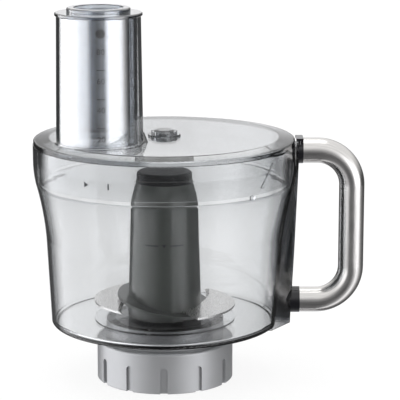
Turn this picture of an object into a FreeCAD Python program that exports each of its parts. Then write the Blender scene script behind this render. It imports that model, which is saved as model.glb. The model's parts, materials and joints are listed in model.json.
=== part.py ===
import FreeCAD, Part
import math
import os

# Food-processor attachment for a stand mixer: a clear bowl and lid on a geared collar.
# Millimetres. The origin is on the drive axis, at the collar's lower face. +Z is up and
# the handle points along +X.

V = FreeCAD.Vector
UP = V(0, 0, 1)
ORIGIN = V(0, 0, 0)

# --- Collar: the housing that locks on the mixer and holds the gears -------------------
COLLAR_R = 52.8
COLLAR_H = 30.3
COLLAR_FOOT = -1.2         # the collar's lower face, before everything is raised to put it at 0
COLLAR_EDGE = 2.0          # rounding of the upper outer edge
NECK_R = 45.5
NECK_TOP = 43.4
RECESS_R = 44.0            # takes the mixer's outlet boss
RECESS_H = 9.0
CHAMBER_R = 38.1
WEB_TOP = RECESS_H + 3.5
GRIP_COUNT = 12
GRIP_W = 5.6
GRIP_H = 19.0
GRIP_DEPTH = 2.4
LOCK_SLOTS = 3
BUSH_R = 11.0              # outer radius of both bushes
INPUT_BUSH_TOP = 16.9
SOCKET_HEX = 9.5           # across flats of the socket that the mixer's drive enters
SOCKET_TOP = 16.0
COUPLING_FLANGE_Z = 17.1
SCREW_R = 1.5
SCREW_HEAD_R = 2.8
SCREW_HEAD_H = 2.4
SCREW_CIRCLE = 41.8        # radius of the circle that the long screws stand on
SCREW_FIRST = 15.0
SCREW_TOP = 46.0
SCREW_DRIVE = 2.5          # across flats

# --- Planetary gears -------------------------------------------------------------------
MODULE = 1.5
SUN_TEETH = 15
PLANET_TEETH = 15
RING_TEETH = SUN_TEETH + 2 * PLANET_TEETH
PLANETS = 3
PRESSURE_ANGLE = math.radians(20)
FLANK_GAP = 0.12           # thinning of each flank, for backlash
ADDENDUM = 0.9 * MODULE
DEDENDUM = 1.25 * MODULE
GEAR_Z = 18.2
GEAR_W = 8.0
CARRIER_R = MODULE * (SUN_TEETH + PLANET_TEETH) / 2
PIN_R = 3.0
RUN_GAP = 0.06             # radial gap of a running fit
PLATE_Z = 27.0             # underside of the planet carrier
PLATE_R = 30.0
PLATE_T = 4.0
CARRIER_HUB_TOP = 32.6
CARRIER_WINDOW_R = 4.5     # openings in the plate between the planets
RING_TOP = 33.4
PIN_TIP = 17.3             # lower end of the planet pins
PIN_CLIP_T = 0.7
COVER_TOP = RING_TOP + 3.0
COVER_RIBS = 6
COVER_RIB_TOP = 41.0
RETAINER_T = 1.2
BEARING_BOSS_R = 13.8
COUPLING_R = 8.5
SUN_HEX = 8.0              # across flats
SHAFT_R = 6.0
SHAFT_TOP = 140.0
SHAFT_HEX = 9.0
SHAFT_CLIP_Z = NECK_TOP - 0.2
SHAFT_CLIP_T = 1.0

# --- Bowl ------------------------------------------------------------------------------
BOWL_BOTTOM = 43.4
FLOOR_T = 2.2
PLATEAU_R = 54.4
PLATEAU_TOP = 47.0
FOOT_R = 87.9
WAIST_R = 91.2
WAIST_Z = 112.0
FLARE_R = 93.9             # outer radius halfway up the flare
FLARE_Z = 133.0
LEDGE_Z = 154.0
LEDGE_R = 93.6             # inner radius just below the ledge
LEDGE_OUT_R = 98.9
BAND_Z = 172.0             # the band is straight above this height
RIM_R = 100.5
RIM_Z = 183.6
BAND_IN_R = 97.4           # inner radius of the band that takes the lid's skirt
WALL = 3.0
SPIGOT_R = 17.0
SPIGOT_IN_R = 14.5
SPIGOT_TOP = 58.0
SEAL_BOTTOM = 50.0
SEAL_TOP = 56.0
RAMP_ANGLE = -40.2         # direction of the sloping rib's middle
RAMP_Z = 170.4
RAMP_LENGTH = 21.0
RAMP_LEAN = 37.6

# --- Lid, feed tube and pushers --------------------------------------------------------
LID_RIM_R = 100.0
LID_RIM_TOP = 187.1
LID_FLAT_R = 88.5
LID_TOP = 189.2
LID_T = 2.6
SKIRT_R = 96.9
SKIRT_BOTTOM = 157.0
BOSS_R = 12.5
BOSS_TOP = 192.6
BEARING_R = 7.0
TUBE_X = -47.7
TUBE_Y = -31.0
TUBE_R = 31.5              # outer radius at the top; the foot is wider
TUBE_FOOT_R = 32.7
TUBE_TOP = 284.4
TUBE_WALL = 2.4
FLANGE_R = 32.7
TUBE_RIB_ANGLE = -39.0
FLANGE_T = 2.8
PUSHER_R = 28.5
PUSHER_BOTTOM = 189.4
PUSHER_HOLE_R = 21.2
SMALL_R = 20.7
SMALL_IN_R = 18.5
SMALL_RIM_R = 23.8
SMALL_TOP = 290.8
SMALL_BOTTOM = 200.0
LUG_ANGLE = -33.0          # the lid's lug before it is turned to the handle
LUG_HALF = 4.5             # half of the lug's width, degrees
LUG_OUT_R = 103.6
LUG_TOP = 185.6
LUG_NOSE = LUG_OUT_R * math.sin(math.radians(LUG_HALF))

# --- Handle and spine ------------------------------------------------------------------
HANDLE_R = 9.75
HANDLE_WALL = 1.2
HANDLE_X = 144.1
HANDLE_TOP_Z = 177.7
HANDLE_LOW_Z = 59.8
BEND_R = 27.0
UPPER_CAP_X = 106.2
LOWER_CAP_X = 104.5
SPINE_FOOT_X = 97.0
SPINE_MID_X = 99.9
SPINE_HEAD_X = 102.6
SPINE_NECK_Z = 166.0       # height at which the spine is as wide as its head
SPINE_HALF = 12.0
SPINE_ROOT_HALF = 33.0
SPINE_WALL = 2.2
SPINE_RIBS = (-7.0, 0.0, 7.0)   # places of the ribs inside the spine, across it
SPINE_RIB_HALF = 0.9
PLUNGER_X = 102.8
PLUNGER_R = 1.2
PLUNGER_FOOT_R = 1.6
PLUNGER_FOOT_H = 1.2
PLUNGER_TOP = RIM_Z + 1.5
PLUNGER_BOTTOM = 175.0
SPRING_BOTTOM = 170.2
SPRING_ROOM_R = 1.75

# --- Knife -----------------------------------------------------------------------------
HUB_FOOT_R = 28.5
HUB_HEAD_R = 25.7
HUB_BOTTOM = 48.8
HUB_SHOULDER_Z = 140.0
CAP_R = 21.3
CAP_Z = 155.6
CAP_TOP = 162.6
HUB_WALL = 2.6
SOCKET_R = 9.0
SOCKET_BOTTOM = 119.0
SKIRT_DISC_R = 37.0
SKIRT_DISC_T = 2.4
SKIRT_DISC_Z = 59.5
SKIRT_TILT = 11.4          # degrees
SKIRT_HIGH = 150.0         # direction of its highest point, degrees
BLADE_R = 54.5
BLADE_T = 1.6
BLADE_ROOT_R = 24.0        # inner radius of the crescent where it is widest
BLADE_TIP_SPREAD = 85.0    # degrees from the widest point to the tip
BLADE_ROOT_SPREAD = 32.0   # degrees from the widest point to the blunt end
BLADE_MIDS = ((150.0, 60.0), (330.0, 56.4))   # direction of the widest point and height


# --- Helpers ---------------------------------------------------------------------------
def polar(radius, degrees, z=0.0):
    angle = math.radians(degrees)
    return V(radius * math.cos(angle), radius * math.sin(angle), z)


def cylinder(radius, z0, z1, x=0.0, y=0.0):
    return Part.makeCylinder(radius, z1 - z0, V(x, y, z0))


def ring(outer, inner, z0, z1, x=0.0, y=0.0):
    return cylinder(outer, z0, z1, x, y).cut(cylinder(inner, z0 - 1, z1 + 1, x, y))


def box(x0, x1, y0, y1, z0, z1):
    return Part.makeBox(x1 - x0, y1 - y0, z1 - z0, V(x0, y0, z0))


def hexagon(across_flats, z0, z1):
    corner = across_flats / math.sqrt(3)
    points = [polar(corner, 60 * step, z0) for step in range(7)]
    return Part.Face(Part.makePolygon(points)).extrude(V(0, 0, z1 - z0))


def outline(steps):
    """A closed face in the XZ plane. A step is (r, z), or (r, z, mid_r, mid_z) for an arc."""
    edges = []
    here = V(steps[0][0], 0, steps[0][1])
    for step in list(steps[1:]) + [steps[0][:2]]:
        there = V(step[0], 0, step[1])
        if len(step) == 4:
            edges.append(Part.Arc(here, V(step[2], 0, step[3]), there).toShape())
        else:
            edges.append(Part.makeLine(here, there))
        here = there
    return Part.Face(Part.Wire(edges))


def revolve(steps, x=0.0, y=0.0):
    shape = outline(steps).revolve(ORIGIN, UP, 360)
    shape.translate(V(x, y, 0))
    return shape


def turned(shape, degrees, centre=ORIGIN):
    copy = shape.copy()
    copy.rotate(centre, UP, degrees)
    return copy


def around(shape, count, first=0.0):
    """Copies of a shape, evenly spaced about the drive axis."""
    return [turned(shape, first + 360.0 * step / count) for step in range(count)]


def save(name, shape):
    clean = shape.removeSplitter()
    clean.translate(V(0, 0, -COLLAR_FOOT))
    clean.exportStep("parts/" + name + ".step")


# --- Gears -----------------------------------------------------------------------------
def involute(angle):
    return math.tan(angle) - angle


def gear_face(teeth, inner_r, outer_r, half_tooth, z):
    """A toothed disc. half_tooth is half of a tooth's angle on the pitch circle."""
    pitch_r = MODULE * teeth / 2
    base_r = pitch_r * math.cos(PRESSURE_ANGLE)
    start_r = max(inner_r, base_r)

    def flank_angle(radius):
        roll = math.acos(min(1.0, base_r / radius))
        return half_tooth + involute(PRESSURE_ANGLE) - involute(roll)

    def at(radius, angle):
        return V(radius * math.cos(angle), radius * math.sin(angle), z)

    flank_steps = 4
    radii = [start_r + (outer_r - start_r) * k / flank_steps for k in range(flank_steps + 1)]
    edges = []
    for tooth in range(teeth):
        middle = 2 * math.pi * tooth / teeth
        next_gap = middle + math.pi / teeth
        next_tooth = middle + 2 * math.pi / teeth
        rising = [at(r, middle - flank_angle(r)) for r in radii]
        falling = [at(r, middle + flank_angle(r)) for r in reversed(radii)]
        root_angle = flank_angle(start_r)
        if inner_r < start_r:
            edges.append(Part.makeLine(at(inner_r, middle - root_angle), rising[0]))
        curve = Part.BSplineCurve()
        curve.interpolate(rising)
        edges.append(curve.toShape())
        edges.append(Part.Arc(rising[-1], at(outer_r, middle), falling[0]).toShape())
        curve = Part.BSplineCurve()
        curve.interpolate(falling)
        edges.append(curve.toShape())
        if inner_r < start_r:
            edges.append(Part.makeLine(falling[-1], at(inner_r, middle + root_angle)))
        root_start = at(inner_r, middle + root_angle)
        root_end = at(inner_r, next_tooth - root_angle)
        edges.append(Part.Arc(root_start, at(inner_r, next_gap), root_end).toShape())
    return Part.Face(Part.Wire(edges))


def outer_gear(teeth, z0, z1):
    pitch_r = MODULE * teeth / 2
    half_tooth = math.pi / (2 * teeth) - FLANK_GAP / pitch_r
    face = gear_face(teeth, pitch_r - DEDENDUM, pitch_r + ADDENDUM, half_tooth, z0)
    return face.extrude(V(0, 0, z1 - z0))


def ring_gear():
    """Inner teeth: a ring cut by a disc whose teeth are the ring's gaps."""
    pitch_r = MODULE * RING_TEETH / 2
    half_gap = math.pi / (2 * RING_TEETH) + FLANK_GAP / pitch_r
    z0 = WEB_TOP + 1.5
    face = gear_face(RING_TEETH, pitch_r - ADDENDUM, pitch_r + DEDENDUM, half_gap, z0 - 1)
    cutter = face.extrude(V(0, 0, RING_TOP - z0 + 2))
    return ring(CHAMBER_R, pitch_r - ADDENDUM - 1, z0, RING_TOP).cut(cutter)


# --- Collar and gearbox pieces ---------------------------------------------------------
def collar():
    body = revolve([
        (0, COLLAR_FOOT), (COLLAR_R - 0.5, COLLAR_FOOT), (COLLAR_R, COLLAR_FOOT + 0.5),
        (COLLAR_R, COLLAR_H - COLLAR_EDGE),
        (COLLAR_R - COLLAR_EDGE, COLLAR_H,
         COLLAR_R - 0.29 * COLLAR_EDGE, COLLAR_H - 0.29 * COLLAR_EDGE),
        (NECK_R, COLLAR_H), (NECK_R, NECK_TOP), (0, NECK_TOP)])
    body = body.cut(cylinder(RECESS_R, COLLAR_FOOT - 1, RECESS_H))
    body = body.cut(cylinder(CHAMBER_R, WEB_TOP, NECK_TOP + 1))
    body = body.fuse(cylinder(BUSH_R + 5, RECESS_H, INPUT_BUSH_TOP))
    body = body.cut(cylinder(BUSH_R, RECESS_H - 1, INPUT_BUSH_TOP + 1))
    # Groove for the retaining ring above the gearbox cover.
    body = body.cut(ring(CHAMBER_R + 1.1, CHAMBER_R - 1, COVER_TOP, COVER_TOP + RETAINER_T))
    # Finger grips: upright grooves, open at the bottom and round at the top.
    half = GRIP_W / 2
    x0 = COLLAR_R - GRIP_DEPTH
    slot = box(x0, COLLAR_R + 1, -half, half, COLLAR_FOOT - 1, GRIP_H - half)
    dome = Part.makeCylinder(half, GRIP_DEPTH + 1, V(x0, 0, GRIP_H - half), V(1, 0, 0))
    for grip in around(slot.fuse(dome), GRIP_COUNT):
        body = body.cut(grip)
    # Slots that lock the collar on the mixer: an entry and a turn to one side.
    slot_r = RECESS_R + 3.2
    slot_span = 10.0
    sweep = 2.2 * slot_span
    entry = ring(slot_r, RECESS_R - 1, COLLAR_FOOT - 1, 7.5).common(wedge(slot_span))
    turn = ring(slot_r, RECESS_R - 1, 4.0, 7.5).common(turned(wedge(sweep), sweep / 4))
    for lock in around(entry.fuse(turn), LOCK_SLOTS, 75.0):
        body = body.cut(lock)
    hole = cylinder(SCREW_R + 0.2, RECESS_H - 1, NECK_TOP + 1, SCREW_CIRCLE)
    seat = cylinder(SCREW_HEAD_R + 0.3, RECESS_H - 1, RECESS_H + 3.0, SCREW_CIRCLE)
    for cut in around(hole.fuse(seat), LOCK_SLOTS, SCREW_FIRST):
        body = body.cut(cut)
    return body


def wedge(span):
    """An upright sector about the drive axis, centred on +X."""
    reach = 2 * COLLAR_R
    corners = [V(0, 0, -5), polar(reach, -span / 2, -5), polar(reach, span / 2, -5), V(0, 0, -5)]
    return Part.Face(Part.makePolygon(corners)).extrude(V(0, 0, 300))


def input_bush():
    return ring(BUSH_R, COUPLING_R + RUN_GAP, RECESS_H + 0.4, INPUT_BUSH_TOP)


def input_coupling():
    """Six-sided socket below, flange on the bush, six-sided stub for the sun gear."""
    body = cylinder(COUPLING_R, RECESS_H + 0.6, COUPLING_FLANGE_Z)
    body = body.fuse(cylinder(COUPLING_R + 1.5, COUPLING_FLANGE_Z, GEAR_Z - 0.1))
    body = body.fuse(hexagon(SUN_HEX, GEAR_Z - 0.1, GEAR_Z + GEAR_W + 0.4))
    return body.cut(hexagon(SOCKET_HEX, RECESS_H - 1, SOCKET_TOP))


def sun_gear():
    gear = outer_gear(SUN_TEETH, GEAR_Z, GEAR_Z + GEAR_W)
    return gear.cut(hexagon(SUN_HEX, GEAR_Z - 1, GEAR_Z + GEAR_W + 1))


def planet_gear():
    gear = outer_gear(PLANET_TEETH, GEAR_Z, GEAR_Z + GEAR_W)
    gear = gear.cut(cylinder(PIN_R + RUN_GAP, GEAR_Z - 1, GEAR_Z + GEAR_W + 1))
    gear.translate(V(CARRIER_R, 0, 0))
    return gear


def planet_carrier():
    top = PLATE_Z + PLATE_T
    plate = cylinder(PLATE_R, PLATE_Z, top)
    plate = plate.fuse(cylinder(SHAFT_R + 4, PLATE_Z, CARRIER_HUB_TOP))
    plate = plate.cut(cylinder(SHAFT_R, PLATE_Z - 1, CARRIER_HUB_TOP + 1))
    for cut in around(cylinder(PIN_R, PLATE_Z - 1, top + 1, CARRIER_R), PLANETS):
        plate = plate.cut(cut)
    window = cylinder(CARRIER_WINDOW_R, PLATE_Z - 1, top + 1, CARRIER_R - 2)
    for cut in around(window, PLANETS, 60.0):
        plate = plate.cut(cut)
    return plate


def planet_pins():
    pin = cylinder(PIN_R, PIN_TIP, PLATE_Z + PLATE_T, CARRIER_R)
    return Part.makeCompound(around(pin, PLANETS))


def planet_clips():
    clip = ring(PIN_R + 2.2, PIN_R, PIN_TIP, PIN_TIP + PIN_CLIP_T, CARRIER_R)
    mouth = box(CARRIER_R, CARRIER_R + 6, -1.2, 1.2, PIN_TIP - 1, PIN_TIP + 2)
    return Part.makeCompound(around(clip.cut(mouth), PLANETS))


def gearbox_cover():
    cover = cylinder(CHAMBER_R - 0.1, RING_TOP, COVER_TOP)
    cover = cover.fuse(cylinder(BEARING_BOSS_R, RING_TOP, NECK_TOP - 0.4))
    rib = box(BEARING_BOSS_R - 2, CHAMBER_R - 4, -1, 1, COVER_TOP - 1, COVER_RIB_TOP)
    for one in around(rib, COVER_RIBS):
        cover = cover.fuse(one)
    return cover.cut(cylinder(BUSH_R, RING_TOP - 1, NECK_TOP + 1))


def cover_retainer():
    clip = ring(CHAMBER_R + 1.0, CHAMBER_R - 2.0, COVER_TOP, COVER_TOP + RETAINER_T)
    return clip.cut(box(0, CHAMBER_R + 3, -5, 5, COVER_TOP - 1, COVER_TOP + 3))


def output_bush():
    return ring(BUSH_R, SHAFT_R + RUN_GAP, RING_TOP, NECK_TOP - 0.6)


def drive_shaft():
    """Round where it runs in the bush, six-sided where the knife sits on it."""
    body = cylinder(SHAFT_R, PLATE_Z, SHAFT_TOP - 22).fuse(hexagon(SHAFT_HEX, 110, SHAFT_TOP - 1))
    tip = Part.makeCone(SHAFT_HEX / 2, 3.0, 1.5, V(0, 0, SHAFT_TOP - 1))
    body = body.fuse(tip)
    return body.cut(ring(SHAFT_R + 1, SHAFT_R - 0.6, SHAFT_CLIP_Z, SHAFT_CLIP_Z + SHAFT_CLIP_T))


def shaft_clip():
    clip = ring(SHAFT_R + 2.4, SHAFT_R - 0.6, SHAFT_CLIP_Z, SHAFT_CLIP_Z + SHAFT_CLIP_T)
    return clip.cut(box(0, 12, -1.8, 1.8, SHAFT_CLIP_Z - 1, SHAFT_CLIP_Z + 2))


def base_screws():
    """Long screws from the recess up to blind holes in the bowl's plateau rim."""
    head_z = RECESS_H + 0.5
    screw = cylinder(SCREW_HEAD_R, head_z, head_z + SCREW_HEAD_H, SCREW_CIRCLE)
    screw = screw.fuse(cylinder(SCREW_R, head_z, SCREW_TOP, SCREW_CIRCLE))
    driver = hexagon(SCREW_DRIVE, head_z - 1, head_z + 1.4)
    driver.translate(V(SCREW_CIRCLE, 0, 0))
    return Part.makeCompound(around(screw.cut(driver), LOCK_SLOTS, SCREW_FIRST))


# --- Bowl ------------------------------------------------------------------------------
def bowl_outside():
    return [
        (0, BOWL_BOTTOM), (FOOT_R - 2.6, BOWL_BOTTOM),
        (FOOT_R, BOWL_BOTTOM + 2.6, FOOT_R - 0.8, BOWL_BOTTOM + 0.8),
        (WAIST_R, WAIST_Z), (LEDGE_OUT_R, LEDGE_Z + 1, FLARE_R, FLARE_Z),
        (RIM_R, BAND_Z, RIM_R - 0.5, BAND_Z - 10), (RIM_R, RIM_Z), (0, RIM_Z)]


def bowl():
    floor_top = BOWL_BOTTOM + FLOOR_T
    inside = [
        (0, floor_top), (FOOT_R - WALL - 3.0, floor_top),
        (FOOT_R - WALL + 0.3, floor_top + 3.4, FOOT_R - WALL - 0.8, floor_top + 1.0),
        (WAIST_R - WALL, WAIST_Z), (LEDGE_R, LEDGE_Z - 1.6, FLARE_R - WALL - 0.3, FLARE_Z - 1),
        (LEDGE_R, LEDGE_Z), (BAND_IN_R - 1.2, LEDGE_Z),
        (BAND_IN_R, BAND_Z, BAND_IN_R - 0.3, BAND_Z - 10), (BAND_IN_R, RIM_Z + 1), (0, RIM_Z + 1)]
    body = revolve(bowl_outside()).cut(revolve(inside))
    # The floor steps up to a round plateau, and a spigot keeps food off the shaft.
    body = body.fuse(cylinder(PLATEAU_R, BOWL_BOTTOM + 1, PLATEAU_TOP))
    body = body.fuse(cylinder(SPIGOT_R, NECK_TOP + 0.5, SPIGOT_TOP))
    body = body.cut(cylinder(NECK_R + 0.3, BOWL_BOTTOM - 1, NECK_TOP + 0.4))
    body = body.cut(cylinder(SPIGOT_IN_R, BOWL_BOTTOM - 1, SPIGOT_TOP + 1))
    screw_hole = cylinder(SCREW_R, BOWL_BOTTOM, SCREW_TOP, SCREW_CIRCLE)
    for cut in around(screw_hole, LOCK_SLOTS, SCREW_FIRST):
        body = body.cut(cut)
    # An upright guide rib and a small stop inside the band, and a sloping rib outside it.
    guide = box(BAND_IN_R - 0.1, BAND_IN_R + 1.0, -1.2, 1.2, 156.0, 170.0)
    body = body.fuse(turned(guide, 202.0))
    stop = box(LEDGE_R - 0.5, BAND_IN_R + 0.5, -1.2, 1.2, LEDGE_Z - 0.5, SKIRT_BOTTOM - 0.5)
    body = body.fuse(turned(stop, -46.6))
    ramp = box(RIM_R - 2.0, RIM_R + 0.7, -0.7, 0.7, -RAMP_LENGTH / 2, RAMP_LENGTH / 2)
    ramp.rotate(ORIGIN, V(1, 0, 0), -RAMP_LEAN)
    ramp.translate(V(0, 0, RAMP_Z))
    return body.fuse(turned(ramp, RAMP_ANGLE))


def bowl_seal():
    seal = ring(NECK_R - 0.3, CHAMBER_R + 0.3, NECK_TOP, NECK_TOP + 0.4)
    for cut in around(cylinder(SCREW_R + 0.2, NECK_TOP - 1, 50, SCREW_CIRCLE), LOCK_SLOTS, SCREW_FIRST):
        seal = seal.cut(cut)
    return seal


def shaft_seal():
    """Rubber ring with a lip round the shaft."""
    lip_r = SHAFT_R + 0.3
    return revolve([
        (SPIGOT_IN_R, SEAL_BOTTOM), (SPIGOT_IN_R, SEAL_TOP), (BUSH_R, SEAL_TOP),
        (BUSH_R, SEAL_BOTTOM + 2.0), (lip_r + 0.6, SEAL_BOTTOM + 4.5),
        (lip_r, SEAL_BOTTOM + 4.0), (lip_r, SEAL_BOTTOM + 2.6), (BUSH_R - 1, SEAL_BOTTOM)])


# --- Handle ----------------------------------------------------------------------------
def spine_block(grow):
    """The tapered fin behind the bowl, made thinner by a negative grow."""
    wires = []
    for z, x_out in ((BOWL_BOTTOM, SPINE_FOOT_X), (WAIST_Z - 12, SPINE_MID_X),
                     (SPINE_NECK_Z, SPINE_HEAD_X), (RIM_Z - 1.0, SPINE_HEAD_X + 0.5)):
        out = x_out + grow
        half = SPINE_HALF + grow
        root = SPINE_ROOT_HALF + grow
        corners = [V(70, -root, z), V(82, -root, z), V(out - 2, -half, z), V(out, -half + 3, z),
                   V(out, half - 3, z), V(out - 2, half, z), V(82, root, z), V(70, root, z)]
        wires.append(Part.makePolygon(corners + corners[:1]))
    return Part.makeLoft(wires, True, True)


def spine():
    body = spine_block(0.0)
    core = spine_block(-SPINE_WALL)
    core = core.common(box(0, 200, -50, 50, BOWL_BOTTOM - 1, SPINE_NECK_Z - 2))
    # Upright ribs are left standing inside the hollow fin.
    for y in SPINE_RIBS:
        core = core.cut(box(60, 120, y - SPINE_RIB_HALF, y + SPINE_RIB_HALF, 40, 200))
    body = body.cut(core).cut(revolve(bowl_outside()))
    body = body.cut(upper_cap_solid()).cut(lower_cap_solid())
    # Room for the rib marks on the bowl and for the lid's rim.
    return body.cut(cylinder(RIM_R + 0.4, 168.0, 200.0))


def upper_cap_solid():
    cap = Part.makeCylinder(HANDLE_R + 0.4, UPPER_CAP_X - 96.0, V(96.0, 0, HANDLE_TOP_Z), V(1, 0, 0))
    hook = box(96.0, UPPER_CAP_X, -8.5, 8.5, HANDLE_TOP_Z, LUG_TOP + 2.4)
    hook = hook.fuse(box(96.0, UPPER_CAP_X, -9.2, 9.2, HANDLE_TOP_Z, RIM_Z - 0.6))
    cap = cap.fuse(hook).cut(cylinder(RIM_R + 0.5, 160.0, 200.0))
    # The slot that takes the lid's lug, open towards the bowl and at both sides.
    return cap.cut(box(90, LUG_OUT_R + 0.6, -20, 20, RIM_Z - 0.5, LUG_TOP + 0.4))


def handle_cap_upper():
    cap = upper_cap_solid()
    tongue = Part.makeCylinder(HANDLE_R - HANDLE_WALL, 12, V(UPPER_CAP_X - 1, 0, HANDLE_TOP_Z), V(1, 0, 0))
    cap = cap.fuse(tongue)
    cap = cap.cut(cylinder(PLUNGER_R + RUN_GAP, PLUNGER_BOTTOM, RIM_Z, PLUNGER_X))
    room_top = PLUNGER_BOTTOM + PLUNGER_FOOT_H
    return cap.cut(cylinder(SPRING_ROOM_R, SPRING_BOTTOM, room_top, PLUNGER_X))


def interlock_plunger():
    foot_top = PLUNGER_BOTTOM + PLUNGER_FOOT_H
    pin = cylinder(PLUNGER_R, PLUNGER_BOTTOM, PLUNGER_TOP, PLUNGER_X)
    pin = pin.fuse(cylinder(PLUNGER_FOOT_R, PLUNGER_BOTTOM, foot_top, PLUNGER_X))
    return pin.makeFillet(0.6, [pin.Edges[top_edge(pin)]])


def top_edge(shape):
    """Index of the highest round edge."""
    return max(range(len(shape.Edges)), key=lambda k: shape.Edges[k].BoundBox.ZMin)


def interlock_spring():
    """The coiled wire that pushes the plunger up."""
    wire_r = 0.25
    pitch = 1.3
    coil_h = PLUNGER_BOTTOM - SPRING_BOTTOM - 2 * wire_r - 0.1
    helix = Part.makeHelix(pitch, coil_h, 1.2)
    helix.translate(V(PLUNGER_X, 0, SPRING_BOTTOM + wire_r))
    start = helix.Edges[0].Vertexes[0].Point
    circle = Part.Wire(Part.makeCircle(wire_r, start, V(0, 1, 0.1)))
    return Part.Wire(helix.Edges).makePipeShell([circle], True, True)


def lower_cap_solid():
    cap = Part.makeCylinder(HANDLE_R + 0.4, LOWER_CAP_X - 91.5, V(91.5, 0, HANDLE_LOW_Z), V(1, 0, 0))
    return cap


def handle_cap_lower():
    tongue = Part.makeCylinder(HANDLE_R - HANDLE_WALL, 12, V(LOWER_CAP_X - 1, 0, HANDLE_LOW_Z), V(1, 0, 0))
    return lower_cap_solid().fuse(tongue)


def handle_tube():
    top_start = V(UPPER_CAP_X, 0, HANDLE_TOP_Z)
    top_bend = V(HANDLE_X - BEND_R, 0, HANDLE_TOP_Z)
    low_bend = V(HANDLE_X - BEND_R, 0, HANDLE_LOW_Z)
    low_end = V(LOWER_CAP_X, 0, HANDLE_LOW_Z)
    side_top = V(HANDLE_X, 0, HANDLE_TOP_Z - BEND_R)
    side_low = V(HANDLE_X, 0, HANDLE_LOW_Z + BEND_R)
    reach = BEND_R * math.sqrt(0.5)
    mid_top = V(HANDLE_X - BEND_R + reach, 0, HANDLE_TOP_Z - BEND_R + reach)
    mid_low = V(HANDLE_X - BEND_R + reach, 0, HANDLE_LOW_Z + BEND_R - reach)
    path = Part.Wire([
        Part.makeLine(top_start, top_bend), Part.Arc(top_bend, mid_top, side_top).toShape(),
        Part.makeLine(side_top, side_low), Part.Arc(side_low, mid_low, low_bend).toShape(),
        Part.makeLine(low_bend, low_end)])
    solids = []
    for radius in (HANDLE_R, HANDLE_R - HANDLE_WALL):
        circle = Part.Wire(Part.makeCircle(radius, top_start, V(1, 0, 0)))
        solids.append(path.makePipeShell([circle], True, False))
    return solids[0].cut(solids[1])


# --- Lid -------------------------------------------------------------------------------
def lid():
    under = LID_TOP - LID_T
    body = revolve([
        (0, LID_TOP), (LID_FLAT_R, LID_TOP), (LID_RIM_R - 1.5, LID_RIM_TOP + 0.2),
        (LID_RIM_R, LID_RIM_TOP - 1.0, LID_RIM_R - 0.3, LID_RIM_TOP - 0.1),
        (LID_RIM_R, RIM_Z), (SKIRT_R, RIM_Z), (SKIRT_R, BAND_Z),
        (SKIRT_R - 1.6, SKIRT_BOTTOM), (SKIRT_R - 3.6, SKIRT_BOTTOM), (SKIRT_R - 2.6, BAND_Z),
        (SKIRT_R - 2.6, RIM_Z - 1), (LID_FLAT_R - 1, under), (0, under)])
    # The centre boss: an eight-sided turret round the bearing.
    boss = cylinder(BOSS_R, under - 3, LID_TOP + 1.2)
    turret = cylinder(BOSS_R - 2.4, LID_TOP, BOSS_TOP)
    for step in range(8):
        notch = box(BOSS_R - 3.6, BOSS_R, -1.5, 1.5, LID_TOP + 1.2, BOSS_TOP + 1)
        turret = turret.cut(turned(notch, 45 * step))
    body = body.fuse(boss).fuse(turret)
    body = body.cut(cylinder(BEARING_R + RUN_GAP, under - 5, BOSS_TOP + 1))
    body = body.cut(cylinder(TUBE_R, under - 5, LID_TOP + 5, TUBE_X, TUBE_Y))
    # The lug that the handle's hook takes; its leading end is a ramp for the plunger.
    lug = ring(LUG_OUT_R, LID_RIM_R - 1.5, RIM_Z + 0.3, LUG_TOP).common(wedge(2 * LUG_HALF))
    ramp = Part.Face(Part.makePolygon([
        V(90, LUG_NOSE - 5.0, RIM_Z - 0.1), V(90, LUG_NOSE + 1.0, RIM_Z - 0.1),
        V(90, LUG_NOSE + 1.0, LUG_TOP - 0.5), V(90, LUG_NOSE - 5.0, RIM_Z - 0.1)]))
    lug = lug.cut(ramp.extrude(V(20, 0, 0)).cut(cylinder(LID_RIM_R, 150, 200)))
    return body.fuse(turned(lug, LUG_ANGLE))


def lid_bearing():
    """The bush that a disc's spindle runs in. It turns freely in the lid's boss."""
    under = LID_TOP - LID_T
    body = cylinder(BEARING_R, under - 3.2, BOSS_TOP + 0.2)
    body = body.fuse(cylinder(BEARING_R + 2.4, under - 5.0, under - 3.2))
    body = body.fuse(Part.makeCone(BEARING_R + 1.0, BEARING_R - 0.6, 1.0, V(0, 0, BOSS_TOP + 0.1)))
    return body.cut(cylinder(4.1, under - 6, BOSS_TOP - 1.6))


def feed_tube():
    """A slightly tapered tube that stands in the lid's hole, with a step ring at its foot."""
    height = TUBE_TOP - LID_TOP
    body = Part.makeCone(TUBE_FOOT_R, TUBE_R, height, V(TUBE_X, TUBE_Y, LID_TOP))
    body = body.fuse(cylinder(TUBE_R - 0.1, LID_TOP - LID_T - 6, LID_TOP, TUBE_X, TUBE_Y))
    body = body.fuse(cylinder(TUBE_FOOT_R + 1.2, LID_TOP, LID_TOP + 1.6, TUBE_X, TUBE_Y))
    # A fine upright rib at the front right, and a flared foot at the right.
    rib = box(TUBE_R - 1.0, TUBE_R + 1.0, -0.8, 0.8, LID_TOP, TUBE_TOP - 2.0)
    rib.rotate(ORIGIN, UP, TUBE_RIB_ANGLE)
    rib.translate(V(TUBE_X, TUBE_Y, 0))
    flare_x = TUBE_X + TUBE_FOOT_R - 1.5
    flare = Part.makeCone(5.0, 2.0, 8.0, V(flare_x, TUBE_Y, LID_TOP))
    body = body.fuse(rib).fuse(flare)
    inner_foot = TUBE_FOOT_R - TUBE_WALL
    inner_top = TUBE_R - TUBE_WALL
    body = body.cut(Part.makeCone(inner_foot, inner_top, height + 0.01, V(TUBE_X, TUBE_Y, LID_TOP)))
    return body.cut(cylinder(inner_top, LID_TOP - LID_T - 8, LID_TOP + 1, TUBE_X, TUBE_Y))


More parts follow.
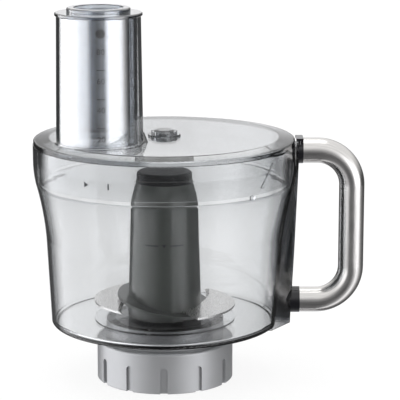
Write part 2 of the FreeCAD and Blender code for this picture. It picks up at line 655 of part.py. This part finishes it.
def large_pusher():
    """A double-walled cup: the outer wall slides in the tube, the inner takes the small pusher."""
    top = TUBE_TOP + FLANGE_T
    body = ring(PUSHER_R, PUSHER_R - 2.0, PUSHER_BOTTOM, TUBE_TOP + 0.5, TUBE_X, TUBE_Y)
    body = body.fuse(ring(PUSHER_HOLE_R + 1.8, PUSHER_HOLE_R, PUSHER_BOTTOM, TUBE_TOP + 0.5, TUBE_X, TUBE_Y))
    body = body.fuse(ring(PUSHER_R - 0.5, PUSHER_HOLE_R, PUSHER_BOTTOM, PUSHER_BOTTOM + 2, TUBE_X, TUBE_Y))
    flange = revolve([
        (PUSHER_HOLE_R, TUBE_TOP), (FLANGE_R - 0.6, TUBE_TOP), (FLANGE_R, TUBE_TOP + 0.6),
        (FLANGE_R, top - 1.0), (FLANGE_R - 1.0, top, FLANGE_R - 0.3, top - 0.3),
        (PUSHER_HOLE_R, top)], TUBE_X, TUBE_Y)
    return body.fuse(flange)


def small_pusher():
    """A cup, open at the top, with a round-edged rim that rests on the large pusher."""
    rim_z = TUBE_TOP + FLANGE_T
    return revolve([
        (0, SMALL_BOTTOM), (SMALL_R - 1.5, SMALL_BOTTOM),
        (SMALL_R, SMALL_BOTTOM + 1.5, SMALL_R - 0.45, SMALL_BOTTOM + 0.45),
        (SMALL_R, rim_z), (SMALL_RIM_R, rim_z), (SMALL_RIM_R, SMALL_TOP - 1.5),
        (SMALL_RIM_R - 1.5, SMALL_TOP, SMALL_RIM_R - 0.45, SMALL_TOP - 0.45),
        (SMALL_IN_R, SMALL_TOP), (SMALL_IN_R, SMALL_BOTTOM + 2.4), (0, SMALL_BOTTOM + 2.4)],
        TUBE_X, TUBE_Y)


# --- Knife -----------------------------------------------------------------------------
def blade(middle, z):
    """A crescent: a disc less a larger offset disc, whose cone-shaped edge grinds the blade."""
    spread = math.cos(math.radians(BLADE_TIP_SPREAD))
    shift = (BLADE_R ** 2 - BLADE_ROOT_R ** 2) / (2 * (BLADE_ROOT_R - BLADE_R * spread))
    bite = BLADE_ROOT_R + shift
    body = cylinder(BLADE_R, z, z + BLADE_T)
    body = body.cut(Part.makeCone(bite, bite + 2.4, BLADE_T, V(shift, 0, z)))
    # The blunt end is cut off along a line through the axis.
    end = box(-90, 90, 0, 90, z - 1, z + BLADE_T + 1)
    end.rotate(ORIGIN, UP, -BLADE_ROOT_SPREAD)
    return turned(body.cut(end), middle - 180)


def skirt_disc(radius, thick):
    disc = Part.makeCylinder(radius, thick, V(0, 0, -thick / 2))
    lean = math.radians(SKIRT_HIGH)
    disc.rotate(ORIGIN, V(math.sin(lean), -math.cos(lean), 0), SKIRT_TILT)
    disc.translate(V(0, 0, SKIRT_DISC_Z))
    return disc


def knife_hub(blades):
    outer = revolve([
        (0, HUB_BOTTOM), (HUB_FOOT_R, HUB_BOTTOM), (HUB_HEAD_R, HUB_SHOULDER_Z),
        (CAP_R, CAP_Z, CAP_R + 3.3, CAP_Z - 9.0), (0, CAP_Z)])
    hollow = revolve([
        (0, HUB_BOTTOM - 1), (HUB_FOOT_R - HUB_WALL, HUB_BOTTOM - 1),
        (HUB_HEAD_R - HUB_WALL, HUB_SHOULDER_Z), (CAP_R - HUB_WALL, CAP_Z - 3),
        (SOCKET_R, CAP_Z - 3), (SOCKET_R, SOCKET_BOTTOM), (0, SOCKET_BOTTOM)])
    body = outer.fuse(skirt_disc(SKIRT_DISC_R, SKIRT_DISC_T)).cut(hollow)
    body = body.cut(hexagon(SHAFT_HEX + 0.2, SOCKET_BOTTOM - 1, SHAFT_TOP + 1))
    for one in blades:
        body = body.cut(one)
    return body


def hub_cap():
    return revolve([
        (0, CAP_Z), (CAP_R, CAP_Z), (CAP_R, CAP_TOP - 3.0),
        (CAP_R - 3.0, CAP_TOP - 0.6, CAP_R - 0.8, CAP_TOP - 1.2), (0, CAP_TOP)])


def main():
    os.makedirs("parts", exist_ok=True)
    blades = [blade(middle, z) for middle, z in BLADE_MIDS]
    save("bowl", bowl())
    save("bowl_seal", bowl_seal())
    save("shaft_seal", shaft_seal())
    save("collar", collar())
    save("base_screws", base_screws())
    save("ring_gear", ring_gear())
    save("input_bush", input_bush())
    save("output_bush", output_bush())
    save("gearbox_cover", gearbox_cover())
    save("cover_retainer", cover_retainer())
    save("input_coupling", input_coupling())
    save("sun_gear", sun_gear())
    for number, gear in enumerate(around(planet_gear(), PLANETS), 1):
        save("planet_gear_" + str(number), gear)
    save("planet_carrier", planet_carrier())
    save("planet_pins", planet_pins())
    save("planet_clips", planet_clips())
    save("drive_shaft", drive_shaft())
    save("shaft_clip", shaft_clip())
    for number, one in enumerate(blades, 1):
        save("blade_" + str(number), one)
    save("knife_hub", knife_hub(blades))
    save("hub_cap", hub_cap())
    save("spine", spine())
    save("handle_tube", handle_tube())
    save("handle_cap_upper", handle_cap_upper())
    save("handle_cap_lower", handle_cap_lower())
    save("interlock_plunger", interlock_plunger())
    save("interlock_spring", interlock_spring())
    save("lid", lid())
    save("lid_bearing", lid_bearing())
    save("feed_tube", feed_tube())
    save("large_pusher", large_pusher())
    save("small_pusher", small_pusher())


main()
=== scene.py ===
import json
import math

import bmesh
import bpy
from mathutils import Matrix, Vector


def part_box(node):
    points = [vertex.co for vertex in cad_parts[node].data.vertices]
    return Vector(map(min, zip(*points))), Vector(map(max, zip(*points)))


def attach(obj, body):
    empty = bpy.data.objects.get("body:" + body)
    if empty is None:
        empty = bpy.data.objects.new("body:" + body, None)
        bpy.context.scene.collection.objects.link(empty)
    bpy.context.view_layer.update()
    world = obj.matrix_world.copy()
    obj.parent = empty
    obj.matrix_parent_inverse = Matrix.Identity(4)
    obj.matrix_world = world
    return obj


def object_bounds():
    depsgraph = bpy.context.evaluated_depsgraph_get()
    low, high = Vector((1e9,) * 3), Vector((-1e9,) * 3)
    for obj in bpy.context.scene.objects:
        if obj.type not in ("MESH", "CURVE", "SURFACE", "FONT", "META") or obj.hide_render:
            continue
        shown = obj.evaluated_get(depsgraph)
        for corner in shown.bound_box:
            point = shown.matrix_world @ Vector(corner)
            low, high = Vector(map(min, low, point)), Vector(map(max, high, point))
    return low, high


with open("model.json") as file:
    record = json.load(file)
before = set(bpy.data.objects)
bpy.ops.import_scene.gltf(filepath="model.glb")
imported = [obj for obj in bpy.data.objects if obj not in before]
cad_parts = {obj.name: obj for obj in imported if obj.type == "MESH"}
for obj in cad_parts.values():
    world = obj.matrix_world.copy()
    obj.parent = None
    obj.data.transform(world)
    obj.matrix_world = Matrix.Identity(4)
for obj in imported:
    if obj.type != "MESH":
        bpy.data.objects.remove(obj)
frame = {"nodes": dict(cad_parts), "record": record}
CAD_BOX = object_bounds()
NODES = frame["nodes"]
MM = 0.001

# --- Camera ----------------------------------------------------------------------------
CAMERA_BACK = 1487.7 * MM          # distance from the aim point
CAMERA_TILT = math.radians(11.92)  # looking down
CAMERA_AIM = Vector((27.36 * MM, 0.0, 139.76 * MM))
CAMERA_LENS = 173.8
SENSOR = 36.0


# --- Node helpers ----------------------------------------------------------------------
class Shader:
    """A material being built: adds nodes and links them by name."""

    def __init__(self, name):
        self.material = bpy.data.materials.new(name)
        self.material.use_nodes = True
        self.tree = self.material.node_tree
        self.bsdf = self.tree.nodes["Principled BSDF"]
        self.output = self.tree.nodes["Material Output"]

    def add(self, kind, **values):
        node = self.tree.nodes.new("ShaderNode" + kind)
        for key, value in values.items():
            if hasattr(node, key):
                setattr(node, key, value)
            else:
                node.inputs[key.replace("_", " ")].default_value = value
        return node

    def link(self, source, target):
        self.tree.links.new(source, target)

    def set(self, **values):
        for key, value in values.items():
            self.bsdf.inputs[key.replace("_", " ")].default_value = value

    def place(self, scale=(1, 1, 1)):
        """Object coordinates, stretched by scale."""
        where = self.add("TexCoord")
        mapping = self.add("Mapping")
        mapping.inputs["Scale"].default_value = scale
        self.link(where.outputs["Object"], mapping.inputs["Vector"])
        return mapping.outputs["Vector"]

    def noise(self, scale, detail=4.0, stretch=(1, 1, 1)):
        node = self.add("TexNoise", Scale=scale, Detail=detail)
        self.link(self.place(stretch), node.inputs["Vector"])
        return node.outputs["Fac"]

    def spread(self, value, low, high):
        """Maps a 0-1 value to low-high."""
        node = self.add("MapRange")
        node.inputs["From Min"].default_value = 0.25
        node.inputs["From Max"].default_value = 0.75
        node.inputs["To Min"].default_value = low
        node.inputs["To Max"].default_value = high
        self.link(value, node.inputs["Value"])
        return node.outputs["Result"]

    def colours(self, value, first, second):
        ramp = self.add("ValToRGB")
        ramp.color_ramp.elements[0].position = 0.3
        ramp.color_ramp.elements[0].color = (*first, 1)
        ramp.color_ramp.elements[1].position = 0.7
        ramp.color_ramp.elements[1].color = (*second, 1)
        self.link(value, ramp.inputs["Fac"])
        self.link(ramp.outputs["Color"], self.bsdf.inputs["Base Color"])

    def rough(self, value, low, high):
        self.link(self.spread(value, low, high), self.bsdf.inputs["Roughness"])

    def bump(self, value, strength, distance):
        node = self.add("Bump", Strength=strength, Distance=distance)
        self.link(value, node.inputs["Height"])
        self.link(node.outputs["Normal"], self.bsdf.inputs["Normal"])


def clear_plastic(name, tint, density, roughness=0.02, polish=0.0):
    """Moulded clear plastic: slight flow waves, and edges darkened by the depth of plastic.
    Polish is the index of a hard clear coat, and 0 leaves the coat off."""
    s = Shader(name)
    s.set(Base_Color=(1, 1, 1, 1), IOR=1.5, Transmission_Weight=1.0)
    if polish:
        s.set(Coat_Weight=1.0, Coat_Roughness=0.03, Coat_IOR=polish)
    s.rough(s.noise(180.0), roughness * 0.5, roughness * 1.5)
    s.bump(s.noise(9.0, 1.0, (1, 1, 0.4)), 0.08, 0.002)
    volume = s.add("VolumeAbsorption")
    volume.inputs["Color"].default_value = (*tint, 1)
    volume.inputs["Density"].default_value = density
    s.link(volume.outputs["Volume"], s.output.inputs["Volume"])
    return s.material


def brushed_steel(name, light, dark, stretch, roughness):
    """Satin steel with fine brush lines; stretch sets which way they run."""
    s = Shader(name)
    lines = s.noise(60.0, 6.0, stretch)
    s.set(Metallic=1.0)
    s.colours(lines, dark, light)
    s.rough(lines, roughness * 0.8, roughness * 1.25)
    s.bump(lines, 0.12, 0.00003)
    return s.material


def moulded(name, first, second, roughness, grain, depth, coat=0.0):
    """Opaque moulded plastic or paint with a fine grain."""
    s = Shader(name)
    cloud = s.noise(25.0, 3.0)
    fine = s.noise(grain, 2.0)
    s.colours(cloud, first, second)
    s.rough(fine, roughness * 0.85, roughness * 1.15)
    s.bump(fine, 0.25, depth)
    s.set(Coat_Weight=coat, Coat_Roughness=0.08)
    return s.material


def tune(material, **values):
    """Sets values on a finished material's own shader."""
    shader = material.node_tree.nodes["Principled BSDF"]
    for key, value in values.items():
        shader.inputs[key.replace("_", " ")].default_value = value


def paint(node, material):
    """Gives a CAD piece its one material."""
    piece = NODES[node]
    piece.data.materials.clear()
    piece.data.materials.append(material)


# --- Materials -------------------------------------------------------------------------
def dress():
    """Paints each CAD piece by its material slot in the record, then prints the marks."""
    clear = clear_plastic("clear_plastic", (0.06, 0.10, 0.13), 74.0)
    tube = clear_plastic("tube_plastic", (0.06, 0.12, 0.18), 66.0, 0.02, 2.0)
    pusher = clear_plastic("pusher_plastic", (0.06, 0.15, 0.27), 104.0, 0.03, 2.0)
    smoke = clear_plastic("smoke_plastic", (0.04, 0.06, 0.09), 330.0, 0.08)
    steel = brushed_steel("handle_steel", (0.67, 0.655, 0.64), (0.55, 0.54, 0.53), (1, 40, 1), 0.2)
    blade = brushed_steel("blade_steel", (0.80, 0.785, 0.77), (0.77, 0.755, 0.74), (60, 2, 2), 0.26)
    machined = brushed_steel("machined_steel", (0.62, 0.62, 0.63), (0.5, 0.5, 0.5), (1, 1, 30), 0.25)
    silver = moulded("silver_paint", (0.36, 0.365, 0.375), (0.40, 0.405, 0.415), 0.36, 1800.0, 0.00004)
    tune(silver, Metallic=0.5)
    black = moulded("black_plastic", (0.006, 0.006, 0.008), (0.010, 0.010, 0.013), 0.14, 1500.0, 0.000005)
    hub = moulded("hub_plastic", (0.070, 0.077, 0.069), (0.080, 0.088, 0.079), 0.45, 1200.0, 0.000004, 1.0)
    tune(hub, Coat_IOR=1.6, Coat_Roughness=0.16, Specular_IOR_Level=0.25)
    # The hub cap: black plastic, made darker than the other black plastic and with its sheen cut, so it
    # also paints the shade on the top of the hub.
    dark_cap_and_shade = moulded("cap_plastic", (0.003, 0.003, 0.004), (0.006, 0.006, 0.008), 0.3, 1500.0, 0.000005)
    tune(dark_cap_and_shade, Specular_IOR_Level=0.12)
    bearing = clear_plastic("bearing_plastic", (0.10, 0.12, 0.14), 90.0, 0.12)
    acetal = moulded("gear_plastic", (0.78, 0.76, 0.69), (0.84, 0.82, 0.76), 0.45, 900.0, 0.00002)
    rubber = moulded("seal_rubber", (0.02, 0.02, 0.02), (0.035, 0.035, 0.035), 0.75, 1400.0, 0.00005)
    bronze = brushed_steel("sintered_bronze", (0.62, 0.43, 0.22), (0.5, 0.34, 0.17), (1, 1, 8), 0.45)
    cast = moulded("cast_alloy", (0.55, 0.55, 0.55), (0.63, 0.63, 0.63), 0.5, 700.0, 0.00008)
    tune(cast, Metallic=1.0)
    finishes = {
        "clear_plastic": clear, "tube_plastic": tube, "pusher_plastic": pusher, "smoke_plastic": smoke,
        "brushed_steel": steel, "blade_steel": blade, "machined_steel": machined,
        "silver_housing": silver, "black_plastic": black, "cap_plastic": dark_cap_and_shade,
        "hub_plastic": hub, "bearing_plastic": bearing, "gear_plastic": acetal,
        "rubber_seal": rubber, "bronze": bronze, "cast_metal": cast}
    for part in frame["record"]["subparts"]:
        paint(part["node"], finishes[part["material_slot"]])
    ink = moulded("mark_ink", (0.010, 0.011, 0.013), (0.018, 0.019, 0.022), 0.45, 900.0, 0.00001)
    pusher_scale(ink)
    hub_level(ink)
    lock_marks(ink)


# --- Marks -----------------------------------------------------------------------------
# Printed marks are flat outlines in the XZ plane, laid onto the front of a CAD node.
INK = 0.10 * MM        # thickness of a printed mark
INK_CLEAR = 0.2 * INK  # gap between a mark and its wall
WELD = 0.001 * MM      # corners closer than this are one
IN_FRONT = -1.0        # a place well in front of the object, to look at its walls from
STROKE = 0.7 * MM      # width of a printed line
SLICE = 0.8 * MM       # a mark is cut into strips this wide, so that it bends round its wall


def rectangle(x, z, width, height):
    """Corners of a rectangle about (x, z)."""
    return [(x + i * width / 2, z + j * height / 2) for i, j in ((-1, -1), (1, -1), (1, 1), (-1, 1))]


def disc(x, z, radius, count=32):
    """Corners of a many-sided disc about (x, z)."""
    turns = [2 * math.pi * i / count for i in range(count)]
    return [(x + radius * math.cos(t), z + radius * math.sin(t)) for t in turns]


def numeral(text, x, z, height):
    """Faces of a number centred at (x, z), as outlines."""
    curve = bpy.data.curves.new("numeral", "FONT")
    curve.body = text
    curve.align_x = "CENTER"
    curve.align_y = "CENTER"
    curve.size = height
    letters = bpy.data.objects.new("numeral", curve)
    mesh = bpy.data.meshes.new_from_object(letters)
    faces = [[mesh.vertices[i].co for i in face.vertices] for face in mesh.polygons]
    bpy.data.objects.remove(letters)
    return [[(x + point.x, z + point.y) for point in face] for face in faces]


def printed(name, node, body, outlines, material):
    """Lays flat outlines on the wall of a node that faces the viewer."""
    flat = bmesh.new()
    for outline in outlines:
        flat.faces.new([flat.verts.new((x, 0, z)) for x, z in outline])
    bmesh.ops.remove_doubles(flat, verts=flat.verts, dist=WELD)
    across = [v.co.x for v in flat.verts]
    cut = min(across) + SLICE
    while cut < max(across):
        parts = flat.verts[:] + flat.edges[:] + flat.faces[:]
        bmesh.ops.bisect_plane(flat, geom=parts, plane_co=(cut, 0, 0), plane_no=(1, 0, 0))
        cut += SLICE
    wall = NODES[node]
    for v in flat.verts:
        _, spot, normal, _ = wall.ray_cast((v.co.x, IN_FRONT, v.co.z), (0, 1, 0))
        v.co = spot + INK_CLEAR * normal
    flat.normal_update()
    for face in flat.faces:
        if face.normal.y > 0:
            face.normal_flip()
    mesh = bpy.data.meshes.new(name)
    flat.to_mesh(mesh)
    flat.free()
    mesh.materials.append(material)
    piece = bpy.data.objects.new(name, mesh)
    bpy.context.scene.collection.objects.link(piece)
    shell = piece.modifiers.new("ink", "SOLIDIFY")
    shell.thickness = INK
    shell.offset = 1.0
    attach(piece, body)


SCALE_STEP = 21.5 * MM     # between two numbers of the pusher's scale
SCALE_TOP = 26.4 * MM      # from the pusher's top to its highest number
TICK_BELOW = 13.1 * MM     # from a number to the tick below it
DISC_ABOVE = 13.5 * MM     # from the highest number to the disc
DISC_RADIUS = 3.4 * MM
NUMBER_HEIGHT = 6.0 * MM
TICK_LENGTH = 6.0 * MM
NUMBERS = ("80", "60", "40", "20")
SCALE_SHIFT = 2.7 * MM     # from the pusher's middle, towards the handle


def pusher_scale(ink):
    """A printed scale up the front of the large pusher, with a plain disc above it."""
    low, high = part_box("large_pusher")
    x = (low[0] + high[0]) / 2 + SCALE_SHIFT
    top = high[2] - SCALE_TOP
    outlines = [disc(x, top + DISC_ABOVE, DISC_RADIUS)]
    for i, text in enumerate(NUMBERS):
        z = top - i * SCALE_STEP
        outlines += numeral(text, x, z, NUMBER_HEIGHT)
        if text != NUMBERS[-1]:
            outlines.append(rectangle(x, z - TICK_BELOW, TICK_LENGTH, STROKE))
    printed("pusher_scale", "large_pusher", "large_pusher", outlines, ink)


LEVEL_Z = 110.2 * MM       # the level mark's height on the hub
LEVEL_GAP = 9.0 * MM       # between its two lines
LEVEL_LINE = 10.0 * MM     # length of each line
LEVEL_STROKE = 1.3 * MM


def hub_level(ink):
    """A highest-level mark on the hub: two short lines with a small triangle between them."""
    low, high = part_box("hub_cap")
    x = (low[0] + high[0]) / 2
    reach = (LEVEL_GAP + LEVEL_LINE) / 2
    outlines = [rectangle(x + side * reach, LEVEL_Z, LEVEL_LINE, LEVEL_STROKE) for side in (-1, 1)]
    left, right = x - 2 * MM, x + 2 * MM
    outlines.append([(left, LEVEL_Z + 1.2 * MM), (x, LEVEL_Z - 2 * MM), (right, LEVEL_Z + 1.2 * MM)])
    printed("hub_level_mark", "knife_hub", "knife", outlines, ink)


BAND_BELOW_RIM = 16.0 * MM   # the lock marks lie this far below the bowl's rim
LOCK_MARKS = (math.radians(236.7), math.radians(247.3))   # their directions from the axis


def lock_marks(ink):
    """Two small marks on the bowl's band that show where the lid's locking starts and ends."""
    low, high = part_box("bowl")
    rim = -low[1]
    z = high[2] - BAND_BELOW_RIM
    first, second = [rim * math.cos(turn) for turn in LOCK_MARKS]
    outlines = [rectangle(second, z, 1.0 * MM, 4.4 * MM)]
    back, tip = first - 1.4 * MM, first + 1.6 * MM
    outlines.append([(back, z + 2 * MM), (back, z - 2 * MM), (tip, z)])
    printed("lock_marks", "bowl", "root", outlines, ink)


# --- Studio ----------------------------------------------------------------------------
FLOOR_RADIUS = 8.0
FLOOR_GAP = 0.2 * MM       # between the floor and the object's foot
FLOOR_GLOW = 0.86


def floor():
    """A white, evenly glowing table, so that clear plastic is seen against pure white."""
    bpy.ops.mesh.primitive_circle_add(vertices=96, radius=FLOOR_RADIUS, fill_type="NGON")
    ground = bpy.context.object
    ground.name = "floor"
    ground.location.z = CAD_BOX[0][2] - FLOOR_GAP
    s = Shader("floor_paint")
    s.colours(s.noise(3.0), (0.14, 0.14, 0.14), (0.16, 0.16, 0.16))
    s.set(Roughness=0.9, Specular_IOR_Level=0.0)
    s.set(Emission_Color=(1, 1, 1, 1), Emission_Strength=FLOOR_GLOW)
    # A ray that something has mirrored passes through the table, so gloss picks up the
    # light from the sides, which reaches below the table's edge.
    rays = s.add("LightPath")
    mirrored = s.add("Math", operation="GREATER_THAN")
    mirrored.inputs[1].default_value = 0.5
    unseen = s.add("BsdfTransparent")
    either = s.add("MixShader")
    s.link(rays.outputs["Glossy Depth"], mirrored.inputs[0])
    s.link(mirrored.outputs["Value"], either.inputs["Fac"])
    s.link(s.bsdf.outputs["BSDF"], either.inputs[1])
    s.link(unseen.outputs["BSDF"], either.inputs[2])
    s.link(either.outputs["Shader"], s.output.inputs["Surface"])
    ground.data.materials.append(s.material)


def softbox(name, place, size, power, aim=(0, 0, 0.13)):
    """A rectangular lamp at place that points at aim."""
    data = bpy.data.lights.new(name, "AREA")
    data.shape = "RECTANGLE"
    data.size, data.size_y = size
    data.energy = power
    lamp = bpy.data.objects.new(name, data)
    lamp.location = place
    lamp.rotation_euler = (Vector(aim) - Vector(place)).to_track_quat("-Z", "Y").to_euler()
    bpy.context.scene.collection.objects.link(lamp)


# Light that comes from each side, as (turns from the handle's side, brightness): a broad
# softbox at the left, a narrow one at the front right, dark gaps, and a white strip behind.
# The viewer stands at 0.75 turn. HIGH is the ring a little below the horizon, LOW is under it.
SIDES_HIGH = (
    (0.00, 0.07), (0.22, 0.07), (0.235, 0.9), (0.265, 0.9), (0.28, 0.05), (0.385, 0.05),
    (0.42, 3.2), (0.55, 3.0), (0.60, 2.2), (0.66, 1.6), (0.695, 0.25), (0.745, 0.2), (0.80, 0.5),
    (0.84, 2.8), (0.935, 3.0), (0.96, 1.6), (0.99, 0.3), (1.00, 0.04))
SIDES_LOW = (
    (0.00, 0.5), (0.05, 0.2), (0.14, 0.1), (0.18, 0.05), (0.235, 0.8), (0.265, 0.8), (0.30, 0.05),
    (0.37, 0.2), (0.42, 2.2), (0.54, 2.0), (0.62, 0.8), (0.69, 0.2), (0.79, 0.12), (0.86, 0.6),
    (0.90, 1.6), (0.94, 1.4), (0.97, 0.8), (1.00, 0.5))
LOW_END, HIGH_START = -0.205, -0.175   # heights in the sky (sine) between which LOW turns to HIGH
SKY = 1.15                             # brightness overhead


def studio():
    """Light from the sides and from overhead, and one lamp above."""
    world = bpy.data.worlds.new("studio")
    world.use_nodes = True
    bpy.context.scene.world = world
    tree = world.node_tree

    def add(kind, **values):
        node = tree.nodes.new("ShaderNode" + kind)
        for key, value in values.items():
            setattr(node, key, value)
        return node

    def ramp(steps, source):
        node = add("ValToRGB")
        stops = node.color_ramp.elements
        for (place, level), stop in zip(steps[:1] + steps[-1:], list(stops)):
            stop.position = place
            stop.color = (level, level, level, 1)
        for place, level in steps[1:-1]:
            stops.new(place).color = (level, level, level * 1.02, 1)
        tree.links.new(source, node.inputs["Fac"])
        return node.outputs["Color"]

    def blend(factor, first, second):
        node = add("MixRGB")
        tree.links.new(factor, node.inputs["Fac"])
        tree.links.new(first, node.inputs["Color1"])
        tree.links.new(second, node.inputs["Color2"])
        return node.outputs["Color"]

    def between(low, high):
        """Rises from 0 to 1 as the height in the sky goes from low to high."""
        node = add("MapRange")
        node.inputs["From Min"].default_value = low
        node.inputs["From Max"].default_value = high
        tree.links.new(split.outputs["Z"], node.inputs["Value"])
        return node.outputs["Result"]

    where = add("TexCoord")
    split = add("SeparateXYZ")
    angle = add("Math", operation="ARCTAN2")
    turns = add("Math", operation="MULTIPLY_ADD")
    turns.inputs[1].default_value = 1 / (2 * math.pi)
    turns.inputs[2].default_value = 1.0
    wrap = add("Math", operation="FRACT")
    tree.links.new(where.outputs["Generated"], split.inputs["Vector"])
    tree.links.new(split.outputs["Y"], angle.inputs[0])
    tree.links.new(split.outputs["X"], angle.inputs[1])
    tree.links.new(angle.outputs[0], turns.inputs[0])
    tree.links.new(turns.outputs[0], wrap.inputs[0])
    turn = wrap.outputs[0]
    walls = blend(between(LOW_END, HIGH_START), ramp(SIDES_LOW, turn), ramp(SIDES_HIGH, turn))
    sky = ramp(((0.0, SKY), (1.0, SKY)), turn)
    light = blend(between(0.0, 0.5), walls, sky)
    tree.links.new(light, tree.nodes["Background"].inputs["Color"])
    softbox("top", (0.0, 0.2, 1.8), (1.2, 1.2), 6)


def camera():
    """The camera at the photograph's angle."""
    data = bpy.data.cameras.new("camera")
    data.lens = CAMERA_LENS
    data.sensor_width = SENSOR
    data.clip_end = 50
    view = bpy.data.objects.new("camera", data)
    back = Vector((0, -math.cos(CAMERA_TILT), math.sin(CAMERA_TILT)))
    view.location = CAMERA_AIM + CAMERA_BACK * back
    view.rotation_euler = (math.pi / 2 - CAMERA_TILT, 0, 0)
    bpy.context.scene.collection.objects.link(view)
    bpy.context.scene.camera = view


BOUNCES = 32


def light_paths():
    """Light crosses sixteen plastic surfaces in the nested pushers, so paths are let run long."""
    cycles = bpy.context.scene.cycles
    cycles.max_bounces = BOUNCES
    cycles.transmission_bounces = BOUNCES
    cycles.transparent_max_bounces = BOUNCES


dress()
floor()
studio()
camera()
light_paths()
bpy.context.scene.view_settings.view_transform = "Standard"
